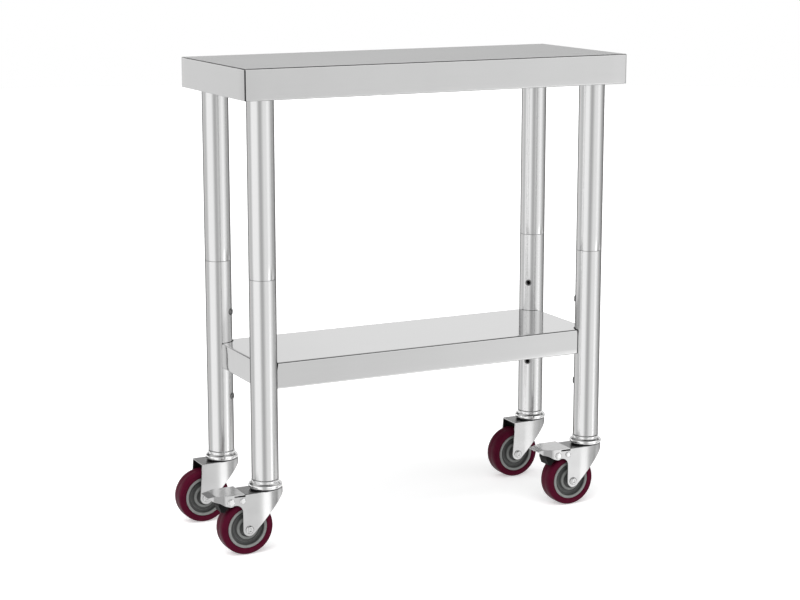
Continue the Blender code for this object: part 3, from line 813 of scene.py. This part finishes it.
def top_channel():
    """Rolled hat channel with rounded bends."""
    low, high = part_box("top_channel")
    flange = (high.y - low.y) / 2
    web = CHANNEL_HALF - SHEET / 2
    bottom = low.z - high.z + SHEET / 2
    path = fillet([
        (-flange, -SHEET / 2, 0), (-web, -SHEET / 2, CHANNEL_BEND), (-web, bottom, CHANNEL_BEND),
        (web, bottom, CHANNEL_BEND), (web, -SHEET / 2, CHANNEL_BEND), (flange, -SHEET / 2, 0),
    ], 5)
    bm = bmesh.new()
    half = (high.x - low.x) / 2
    stations = [-half + 2 * half * k / 20 for k in range(21)]
    rows = [[bm.verts.new((x, y, z)) for y, z in path] for x in stations]
    for first, second in zip(rows, rows[1:]):
        for k in range(len(path) - 1):
            bm.faces.new((first[k], first[k + 1], second[k + 1], second[k]))
    obj = solid(bm)
    add_sheet(obj, 0)
    mesh = softened(obj, CUT_EDGE)
    grain_by_box(mesh)
    at = top_middle_of("top_channel")
    piece("hat_channel", mesh, "channel_zinc", "frame", "top_channel", at)


# ---------------------------------------------------------------- legs


def tube(low, high, bore, radius):
    """A tube, its ends slightly rolled, with rings along it for the grain."""
    section = fillet(
        [(bore, low, 0), (radius, low, 0.0005), (radius, high, 0.0005), (bore, high, 0)], 3, closed=True
    )
    rows = []
    for (r0, h0), (r1, h1) in zip(section, section[1:] + section[:1]):
        count = 12 if abs(h1 - h0) > 0.05 else 1
        rows += [(r0 + (r1 - r0) * k / count, h0 + (h1 - h0) * k / count) for k in range(count)]
    return lathe(rows, closed=True)


def insert_parts(z):
    """Rivet nut in a leg wall, along +X: domed flange, bore and its threads."""
    threads = []
    depth = INSERT_FACE - 0.0006
    while depth > INSERT_FACE - INSERT_DEPTH:
        threads += [(INSERT_BORE, depth), (INSERT_BORE - 0.00035, depth - INSERT_THREAD / 2)]
        depth -= INSERT_THREAD
    flange = fillet([
        (INSERT_RADIUS - 0.0004, 0.0228, 0), (INSERT_RADIUS - 0.0001, 0.0236, 0.0004),
        (INSERT_RADIUS, INSERT_FACE - 0.0004, 0.0005), (INSERT_RADIUS - 0.0008, INSERT_FACE, 0.0004),
        (INSERT_BORE + 0.0006, INSERT_FACE, 0.0003), (INSERT_BORE, INSERT_FACE - 0.0005, 0),
    ], 3)
    end = INSERT_FACE - INSERT_DEPTH - 0.001
    profile = [(0.0054, end), (0.0054, 0.0215)] + flange + threads + [(INSERT_BORE, end)]
    return turned(lathe(profile, SMALL_STEPS, closed=True), along_x(z))


def radial_normals(mesh):
    """Smooth shading of a drilled leg tube, its wall's normals taken from the circle."""
    normals = []
    for face in mesh.polygons:
        upright = abs(face.normal.z) < 0.05
        for index in face.loop_indices:
            spot = mesh.vertices[mesh.loops[index].vertex_index].co
            flat = Vector((spot.x, spot.y, 0))
            outer = upright and abs(flat.length - LEG_RADIUS) < 2e-5
            inner = upright and abs(flat.length - LEG_BORE) < 2e-5
            if outer and face.normal.dot(flat) > 0.9 * flat.length:
                normals.append(flat.normalized())
            elif inner and face.normal.dot(flat) < -0.9 * flat.length:
                normals.append(-flat.normalized())
            else:
                normals.append(face.normal.copy())
    all_smooth(mesh)
    mesh.normals_split_custom_set(normals)
    return mesh


def leg_lower_mesh(low, high):
    leg = solid(tube(low, high, LEG_BORE, LEG_RADIUS))
    for height in INSERT_HEIGHTS:
        combine(leg, solid(turned(rod(0.0056, 0.012, 0.030), along_x(height))), "DIFFERENCE")
    return radial_normals(applied(leg))


def shelf_bolt_mesh():
    """Hex bolt along +X: chamfered head with a washer face, and a threaded shank."""
    face = GUSSET_FACE + GUSSET_THICK + 0.0003
    top = face + BOLT_HEAD
    head = solid(prism(hexagon(BOLT_CORNER), face, top))
    dome = lathe([
        (0, face - 0.001), (BOLT_CORNER + 0.001, face - 0.001), (BOLT_CORNER + 0.001, top - 0.0012),
        (BOLT_CORNER - 0.0012, top), (0, top),
    ], SMALL_STEPS)
    combine(head, solid(dome), "INTERSECT")
    shank = [(0, 0.0156)]
    depth = 0.0160
    while depth < face - 0.001:
        shank += [(0.0033, depth), (0.0037, depth + BOLT_THREAD / 2)]
        depth += BOLT_THREAD
    shank += [(0.0037, face + 0.0005), (0, face + 0.0005)]
    whole = joined([bmesh_of(softened(head, 0.00015)), lathe(shank, 24)])
    return smooth(mesh_of(turned(whole, along_x(INSERT_MIDDLE_Z))), 30)


def legs():
    upper_low, upper_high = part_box("leg_upper_fl")
    lower_low, lower_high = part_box("leg_lower_fl")
    sleeve_low, sleeve_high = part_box("leg_sleeve_fl")
    socket_low, socket_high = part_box("leg_socket_fl")
    radius = (sleeve_high.x - sleeve_low.x) / 2
    bore = radius - SLEEVE_WALL
    plate = (socket_high.x - socket_low.x) / 2
    plate_low = socket_high.z - SOCKET_PLATE
    socket = fillet([
        (bore, socket_low.z, 0), (radius, socket_low.z, 0.0005), (radius, plate_low, 0.0020),
        (plate, plate_low, 0.0008), (plate, socket_high.z, 0.0003), (bore, socket_high.z, 0),
    ], 4, closed=True)
    socket = smooth(mesh_of(lathe(socket, closed=True)))
    upper = smooth(mesh_of(tube(upper_low.z, upper_high.z, LEG_BORE, LEG_RADIUS)))
    lower = leg_lower_mesh(lower_low.z, lower_high.z)
    inserts = smooth(mesh_of(joined([insert_parts(height) for height in INSERT_HEIGHTS])), 35)
    sleeve = smooth(mesh_of(tube(sleeve_low.z, sleeve_high.z, bore, radius)))
    jobs = [
        ("tube_upper_", upper, "leg_steel", "leg_upper_", "leg_steel", 0),
        ("tube_lower_", lower, "leg_steel", "leg_lower_", "leg_steel", 1),
        ("inserts_", inserts, "insert_black", "", "bolt_zinc", 1),
        ("bolt_", shelf_bolt_mesh(), "bolt_zinc", "shelf_bolt_", "bolt_zinc", 1),
        ("sleeve_", sleeve, "inner_steel", "leg_sleeve_", "inner_steel", 0),
        ("socket_", socket, "inner_steel", "leg_socket_", "inner_steel", 0),
    ]
    for name in CORNERS:
        spot = middle_of("leg_upper_" + name)
        at = (spot.x, spot.y, 0)
        for label, mesh, look, node, slot, turns in jobs:
            piece(label + name, mesh, look, "frame", node and node + name, at, INWARD[name] * turns)


# ---------------------------------------------------------------- casters


def mount_mesh():
    """Turned stem, collar and flange, with the riveted kingpin under the fork."""
    stem_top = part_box("caster_mount_fl")[1].z
    plate_low = FORK_TOP_Z - FORK_SHEET
    head_top = plate_low - 0.0003
    profile = fillet([
        (0, stem_top, 0), (0.0219, stem_top, 0.0015), (0.0219, 0.1327, 0),
        (0.0222, 0.1322, 0.0002), (0.0238, 0.1322, 0.0004), (0.0250, 0.1312, 0.0008),
        (0.0250, 0.1288, 0.0008), (0.0232, 0.1281, 0.0003), (0.0232, 0.1272, 0.0003),
        (0.0258, 0.1266, 0.0010), (0.0295, 0.1240, 0.0014), (0.0302, 0.1222, 0.0008),
        (0.0302, 0.1192, 0.0010), (0.0288, 0.1176, 0.0004), (0.0070, 0.1176, 0), (0.0070, head_top, 0),
        (0.0118, head_top, 0.0004), (0.0120, head_top - 0.0018, 0.0008),
        (0.0098, head_top - 0.0040, 0.0008), (0.0040, head_top - 0.0040, 0.0006),
        (0.0030, head_top - 0.0028, 0.0006), (0, head_top - 0.0026, 0),
    ], 4)
    return smooth(mesh_of(lathe(profile)), 40)


def race_mesh():
    """Ball race: two lipped washers with a groove between them."""
    low, high = (end.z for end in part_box("swivel_race_fl"))
    middle = (low + high) / 2
    section = fillet([
        (0.0120, low, 0), (0.0266, low, 0.0003), (0.0270, low + 0.0005, 0.0003),
        (0.0266, middle - 0.0002, 0.0002), (0.0258, middle, 0.0002), (0.0266, middle + 0.0002, 0.0002),
        (0.0270, high - 0.0005, 0.0003), (0.0266, high, 0.0003), (0.0120, high, 0),
    ], 3, closed=True)
    return smooth(mesh_of(lathe(section, closed=True)), 40)


def fork_outline(rear, inset):
    """Plan of the fork, inset from its outside: flat sides closed by a long half-oval nose."""
    half = FORK_HALF - inset
    reach = FORK_NOSE_REACH - inset - FORK_FLAT_END
    nose = [(FORK_FLAT_END + x * reach, y * half) for x, y in arc((0, 0), 1, 90, 0, NOSE_STEPS)]
    upper = [(rear, half)] + nose
    lower = [(x, -y) for x, y in reversed(upper[:-1])]
    return upper + lower


def fork_side(braked):
    """Side view of the fork as (x, z): sloping front, rounded axle end, and a brake arm if braked."""
    axle = (-TRAIL, AXLE_Z)
    reach_x = NOSE_LOW[0] - axle[0]
    reach_z = NOSE_LOW[1] - axle[1]
    aim = math.degrees(math.atan2(reach_z, reach_x))
    opening = math.degrees(math.acos(AXLE_END_RADIUS / math.hypot(reach_x, reach_z)))
    above = FORK_TOP_Z + 0.004
    points = [(0.040, above), (0.040, NOSE_LOW[1]), NOSE_LOW]
    points += arc(axle, AXLE_END_RADIUS, aim - opening, -180, 18)
    if not braked:
        points += [(FORK_REAR, FORK_TOP_Z), (FORK_REAR, above)]
        return points
    arm_low = PIVOT[1] - ARM_END_RADIUS
    corner = (axle[0] - AXLE_END_RADIUS - ARM_FILLET, arm_low - ARM_FILLET)
    points += arc(corner, ARM_FILLET, 0, 90, 10)
    points += arc(PIVOT, ARM_END_RADIUS, -90, -270, 14)
    points += [(FORK_REAR, ARM_SLOT_Z), (FORK_REAR, above)]
    return points


def fork_mesh(braked):
    """Pressed fork: a hood open at the back, cut to its side view, its cut edges eased, its inner faces
    near-black as painted shade.
    """
    rear = PIVOT[0] - 0.012 if braked else -TRAIL - AXLE_END_RADIUS - 0.004
    bm = prism(fork_outline(rear, 0), 0.020, FORK_TOP_Z)
    rim = []
    for edge in bm.edges:
        middle = (edge.verts[0].co + edge.verts[1].co) / 2
        on_top = all(vert.co.z > FORK_TOP_Z - 1e-6 for vert in edge.verts)
        if on_top and middle.x > rear + 1e-4:
            rim.append(edge)
    bmesh.ops.bevel(bm, geom=rim, offset=FORK_RIM, segments=5, profile=0.5, affect="EDGES")
    hood = solid(bm)
    hood.data.materials.append(MATERIALS["fork_zinc"])
    # The hollow hands its near-black material to the hood's inner faces: painted shade.
    hollow = solid(prism(fork_outline(rear - 0.010, FORK_SHEET), 0.010, FORK_TOP_Z - FORK_SHEET))
    hollow.data.materials.append(MATERIALS["fork_inside_painted_shade"])
    combine(hood, hollow, "DIFFERENCE")
    combine(hood, solid(prism(fork_side(braked), -0.050, 0.050, axis="Y")), "INTERSECT")
    return finished(hood, 0.0005, 35)


def tyre_mesh():
    """Cast tyre: crowned tread, round shoulders, a raised bead by the hub and a mould line."""
    half = [
        (TYRE_BORE, 0.0155, 0), (TYRE_BORE + 0.0008, 0.0160, 0.0004), (0.0392, 0.0168, 0.0008),
        (0.0425, 0.0170, 0.0030), (0.0462, 0.0165, 0.0045), (0.0484, 0.0143, 0.0040),
        (0.0491, 0.0085, 0.0080), (WHEEL_RADIUS, 0.0005, 0), (WHEEL_RADIUS - 0.00005, 0.0002, 0),
    ]
    bm = lathe(fillet(mirrored(half), 4), TYRE_STEPS, closed=True)
    return smooth(mesh_of(turned(bm, ALONG_Y)), 50)


def hub_mesh():
    """Moulded wheel centre: rim ring, stepped dish and bearing boss."""
    half = [
        (0.0043, 0.0220, 0), (0.0068, 0.0220, 0.0004), (0.0088, 0.0216, 0.0006),
        (0.0090, 0.0140, 0.0006), (0.0146, 0.0136, 0.0004), (0.0154, 0.0155, 0.0004),
        (0.0202, 0.0155, 0.0008), (0.0212, 0.0093, 0.0010), (0.0252, 0.0090, 0.0004),
        (0.0256, 0.0100, 0.0003), (0.0266, 0.0100, 0.0003), (0.0270, 0.0090, 0.0004),
        (0.0307, 0.0092, 0.0010), (0.0317, 0.0158, 0.0008), (0.0358, 0.0160, 0.0006),
        (0.0367, 0.0152, 0),
    ]
    bm = lathe(fillet(mirrored(half), 3), closed=True)
    return smooth(mesh_of(turned(bm, ALONG_Y)), 35)


def rivet_mesh(radius, head_radius, head, inner_half, tail=0.0, dimple=0.0):
    """Pin along Y with a domed head at -Y; a threaded tail or a second head at +Y."""
    def head_points(sign):
        face = sign * (inner_half + head)
        points = [(0, face - sign * dimple, 0)]
        if dimple:
            points += [
                (head_radius * 0.28, face - sign * dimple, 0.0003), (head_radius * 0.42, face, 0.0004)
            ]
        return points + [
            (head_radius * 0.70, face, head * 0.5),
            (head_radius, sign * (inner_half + head * 0.42), head * 0.4),
            (head_radius, sign * inner_half, 0), (radius, sign * inner_half, 0),
        ]
    profile = head_points(-1)
    if tail:
        end = inner_half + tail
        thread = inner_half - 0.001
        while thread < end - 0.0012:
            profile += [(radius, thread, 0), (radius - 0.0004, thread + AXLE_THREAD / 2, 0)]
            thread += AXLE_THREAD
        profile += [(radius, end - 0.0008, 0), (radius - 0.0006, end, 0.0002), (0, end, 0)]
    else:
        profile += reversed(head_points(1))
    return smooth(mesh_of(turned(lathe(fillet(profile, 4), SMALL_STEPS), ALONG_Y)), 40)


def nut_mesh():
    """Hex nut along Y, chamfered both sides."""
    low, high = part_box("axle_nut_fl")
    half = (high.y - low.y) / 2
    nut = solid(prism(hexagon(NUT_CORNER), -half, half))
    drum = lathe([
        (0, -half), (NUT_CORNER - 0.0011, -half), (NUT_CORNER + 0.0006, -half + 0.0012),
        (NUT_CORNER + 0.0006, half - 0.0012), (NUT_CORNER - 0.0011, half), (0, half),
    ], SMALL_STEPS)
    combine(nut, solid(drum), "INTERSECT")
    combine(nut, solid(rod(0.0043, -0.02, 0.02)), "DIFFERENCE")
    mesh = softened(nut, 0.00018, 2, 25)
    mesh.transform(ALONG_Y)
    smooth(mesh, 30)
    grain_by_box(mesh)
    return mesh


def pedal_mesh():
    """Stamped pedal about its pivot: flat plate, ramped toe, side skirts round the pivot."""
    plate_top = PEDAL_PLATE + PEDAL_SHEET
    side = [(PEDAL_FRONT, PEDAL_PLATE), (PEDAL_FRONT, plate_top)]
    side += fillet([
        (PEDAL_FRONT, plate_top, 0), (PEDAL_BEND, plate_top, 0.006),
        (PEDAL_END, PEDAL_END_RISE, 0.0008), (PEDAL_END + 0.0010, PEDAL_END_RISE - 0.0018, 0.0008),
        (-0.029, 0.0020, 0.004), (-0.019, -0.0005, 0.008), (-0.011, -0.0055, 0.004), (-0.006, -0.0080, 0),
    ], 5)[1:-1]
    side += arc((0, 0), 0.0088, -118, 40, 16)
    side += [(0.0060, PEDAL_PLATE)]
    body = solid(prism(side, -0.040, 0.040, axis="Y"))
    plan = fillet([
        (PEDAL_FRONT + 0.010, PEDAL_HALF, 0), (-0.012, PEDAL_HALF, 0.012),
        (-0.029, 0.0185, 0.010), (PEDAL_END - 0.010, 0.0165, 0),
    ], 6)
    combine(body, solid(prism(mirrored(plan), -0.030, 0.030)), "INTERSECT")
    inner_plan = fillet([
        (PEDAL_FRONT + 0.020, PEDAL_HALF - PEDAL_SHEET, 0),
        (-0.0113, PEDAL_HALF - PEDAL_SHEET, 0.010),
        (-0.0283, 0.0165, 0.010), (PEDAL_END - 0.020, 0.0145, 0),
    ], 6)
    inside = solid(prism(mirrored(inner_plan), -0.050, 0.050))
    ramp_x = PEDAL_BEND - PEDAL_END
    ramp_z = plate_top - PEDAL_END_RISE
    ramp = math.hypot(ramp_x, ramp_z)
    shift_x = PEDAL_SHEET * ramp_z / ramp
    shift_z = PEDAL_SHEET * ramp_x / ramp
    toe = (PEDAL_END + shift_x - ramp_x, PEDAL_END_RISE - shift_z - ramp_z)
    under = fillet([
        (PEDAL_FRONT + 0.030, PEDAL_PLATE, 0), (PEDAL_BEND + shift_x / 2, PEDAL_PLATE, 0.004),
        (toe[0], toe[1], 0),
    ], 5)
    under += [(toe[0], -0.040), (PEDAL_FRONT + 0.030, -0.040)]
    combine(inside, solid(prism(under, -0.060, 0.060, axis="Y")), "INTERSECT")
    combine(body, inside, "DIFFERENCE")
    return finished(body, 0.00045, 32)


def shoe_mesh():
    """Rubber brake block under the pedal, hollowed to the curve of the tyre."""
    wheel = (-TRAIL - PIVOT[0], AXLE_Z - PIVOT[1])
    side = arc(wheel, WHEEL_RADIUS + SHOE_CLEARANCE, 142, 122, 10)
    side += fillet([
        (0.0060, -0.0040, 0), (0.0060, -0.0060, 0.001), (-0.0060, -0.0052, 0.0020),
        (-0.0070, PEDAL_PLATE - 0.0003, 0), (-0.0170, PEDAL_PLATE - 0.0003, 0),
        (-0.0185, -0.0080, 0.003), (-0.0135, -0.0210, 0.0015), (-0.011, -0.0200, 0),
    ], 4)[1:-1]
    return finished(solid(prism(side, -SHOE_HALF, SHOE_HALF, axis="Y")), 0.0006, 35)


def casters():
    mount = mount_mesh()
    race = race_mesh()
    plain_fork = fork_mesh(False)
    braked_fork = fork_mesh(True)
    tyre = tyre_mesh()
    hub = hub_mesh()
    axle = rivet_mesh(0.0040, 0.0074, 0.0036, FORK_HALF + 0.0003, tail=0.0085, dimple=0.0012)
    nut = nut_mesh()
    pedal = pedal_mesh()
    shoe = shoe_mesh()
    pivot = rivet_mesh(0.0030, 0.0066, 0.0022, PEDAL_HALF + 0.0003)
    stop = rivet_mesh(0.0025, 0.0054, 0.0018, FORK_HALF + 0.0003)
    for name in CORNERS:
        spot = middle_of("caster_mount_" + name)
        x, y = spot.x, spot.y
        swivel = "swivel_" + name
        wheel = "wheel_" + name
        brake = "brake_" + name
        at = (x, y, 0)
        axle_at = (x - TRAIL, y, AXLE_Z)
        fork = braked_fork if name in BRAKED else plain_fork
        jobs = [
            ("mount_", mount, "mount_chrome", "frame", "caster_mount_", at),
            ("race_", race, "race_steel", swivel, "swivel_race_", at),
            ("yoke_", fork, "fork_zinc", swivel, "fork_", at),
            ("axle_", axle, "bolt_zinc", swivel, "axle_bolt_", axle_at),
            ("nut_", nut, "bolt_zinc", swivel, "axle_nut_", middle_of("axle_nut_" + name)),
            ("tread_", tyre, "tyre_polyurethane", wheel, "tyre_", axle_at),
            ("centre_", hub, "hub_plastic", wheel, "hub_", axle_at),
        ]
        if name in BRAKED:
            pivot_at = (x + PIVOT[0], y, PIVOT[1])
            stop_at = (x + STOP[0], y, STOP[1])
            jobs += [
                ("pedal_", pedal, "pedal_zinc", brake, "brake_pedal_", pivot_at),
                ("shoe_", shoe, "shoe_rubber", brake, "brake_shoe_", pivot_at),
                ("pivot_", pivot, "pedal_zinc", swivel, "brake_pivot_", pivot_at),
                ("stop_", stop, "pedal_zinc", swivel, "brake_stop_", stop_at),
            ]
        for label, mesh, slot, body, node, place in jobs:
            look = "rivet_zinc" if label in ("pivot_", "stop_") else slot
            piece(label + name, mesh, look, body, node + name, place)


# ---------------------------------------------------------------- studio


VIEW_YAW = 26.585
VIEW_PITCH = 11.412
VIEW_FROM = (-1.6284, -3.2285, 1.13635)
LENS = 88.44
SENSOR = 36
# Panels as (azimuth, inner and outer half width, strength, four heights), in degrees. Azimuth 0 is
# behind the viewer, 90 on their right. A negative strength takes light away.
PANELS = [
    (-50, 18, 44, 0.68, (-88, -70, 30, 50)),
    (56, 22, 50, 0.50, (-88, -70, 36, 46)),
    (66, 3, 15, 0.20, (-88, -70, 30, 50)),
    (-122, 15, 38, 0.24, (-60, -30, 9, 14)),
    (-150, 10, 44, 0.32, (-60, -30, 5, 8)),
    (165, 40, 75, 0.60, (7, 10, 15, 18.5)),
    (180, 70, 110, -0.50, (25, 30, 34, 42)),
    (-142, 12, 38, -0.50, (10, 14, 34, 42)),
    (105, 50, 75, -0.60, (40, 50, 80, 89)),
    (56, 22, 50, 0.60, (17, 21, 28, 38)),
    (-130, 15, 38, 0.60, (3, 5, 9, 12)),
    (68, 3, 11, 0.85, (-88, -70, -16.5, -15)),
    (87, 7, 16, -0.45, (-88, -70, -16.5, -15)),
    (130, 24, 36, 0.65, (-88, -70, -16.5, -15)),
]
SURROUND = 0.58
DARKEST = 0.12
CEILING = (60, 80)
CEILING_SHARE = 0.45
FLOOR_RADIUS = 9.0
FLOOR_DROP = 0.0002
FLOOR_GLOW = 0.42
SUN_STRENGTH = 2.5
SUN_WIDTH = 70
SUN_TILT = (18, -22)


def world_light():
    """Soft studio surround: plain white to the camera; grey, with the panels in it, to all else."""
    world = bpy.data.worlds.new("studio")
    bpy.context.scene.world = world
    world.use_nodes = True
    world.node_tree.nodes.clear()
    graph = Graph(world.node_tree)
    way = graph.put("ShaderNodeTexCoord", {})["Generated"]
    height = graph.put("ShaderNodeSeparateXYZ", {0: way})["Z"]
    level = graph.vector("NORMALIZE", graph.vector("MULTIPLY", way, (1, 1, 0))["Vector"])["Vector"]

    def fade(value, low, high, to_low, to_high):
        return graph.span(value, low, high, to_low, to_high, "SMOOTHSTEP")

    def panel(azimuth, inner, outer, strength, heights):
        angle = math.radians(VIEW_YAW - azimuth)
        toward = graph.vector("DOT_PRODUCT", level, (-math.sin(angle), -math.cos(angle), 0))["Value"]
        value = fade(toward, math.cos(math.radians(outer)), math.cos(math.radians(inner)), 0, strength)
        low0, low1, high0, high1 = (math.sin(math.radians(angle)) for angle in heights)
        value = graph.math("MULTIPLY", value, fade(height, low0, low1, 0, 1))
        return graph.math("MULTIPLY", value, fade(height, high0, high1, 1, 0))

    total = SURROUND
    for row in PANELS:
        total = graph.math("ADD", total, panel(*row))
    low, high = (math.sin(math.radians(angle)) for angle in CEILING)
    total = graph.math("MULTIPLY", total, fade(height, low, high, 1, CEILING_SHARE))
    total = graph.math("MAXIMUM", total, DARKEST)

    lit = graph.put("ShaderNodeBackground", {"Strength": total})[0]
    seen = graph.put("ShaderNodeBackground", {"Color": (1, 1, 1, 1)})[0]
    by_camera = graph.put("ShaderNodeLightPath", {})["Is Camera Ray"]
    mix = graph.put("ShaderNodeMixShader", {0: by_camera, 1: lit, 2: seen})[0]
    graph.put("ShaderNodeOutputWorld", {"Surface": mix})


def studio():
    middle = middle_of("worktop")
    lens = bpy.data.cameras.new("camera")
    lens.lens = LENS
    lens.sensor_width = SENSOR
    lens.clip_end = 60
    camera = linked("camera", lens)
    camera.location = (middle.x + VIEW_FROM[0], middle.y + VIEW_FROM[1], VIEW_FROM[2])
    camera.rotation_euler = (math.radians(90 - VIEW_PITCH), 0, -math.radians(VIEW_YAW))
    bpy.context.scene.camera = camera

    disc = bmesh.new()
    bmesh.ops.create_circle(disc, cap_ends=True, segments=LATHE_STEPS, radius=FLOOR_RADIUS)
    mesh = mesh_of(disc, "floor")
    floor = linked("floor", mesh)
    floor.location = (0, 0, cad_low.z - FLOOR_DROP)
    ground = Shader("floor_paper", grey(0.90), 0.0, 0.9)
    tone = ground.noise(ground.space(), 3.0, detail=2)
    ground.set("Base Color", ground.blend(tone, grey(0.89), grey(0.91)))
    ground.set("Emission Color", (1, 1, 1, 1))
    ground.set("Emission Strength", FLOOR_GLOW)
    mesh.materials.append(ground.made)
    floor.visible_glossy = False

    sun = bpy.data.lights.new("overhead", "SUN")
    sun.energy = SUN_STRENGTH
    sun.angle = math.radians(SUN_WIDTH)
    lamp = linked("overhead", sun)
    lamp.rotation_euler = (math.radians(SUN_TILT[0]), math.radians(SUN_TILT[1]), 0)
    lamp.visible_glossy = False
    world_light()
    bpy.context.scene.view_settings.view_transform = "Standard"


worktop()
undershelf()
top_channel()
legs()
casters()
studio()
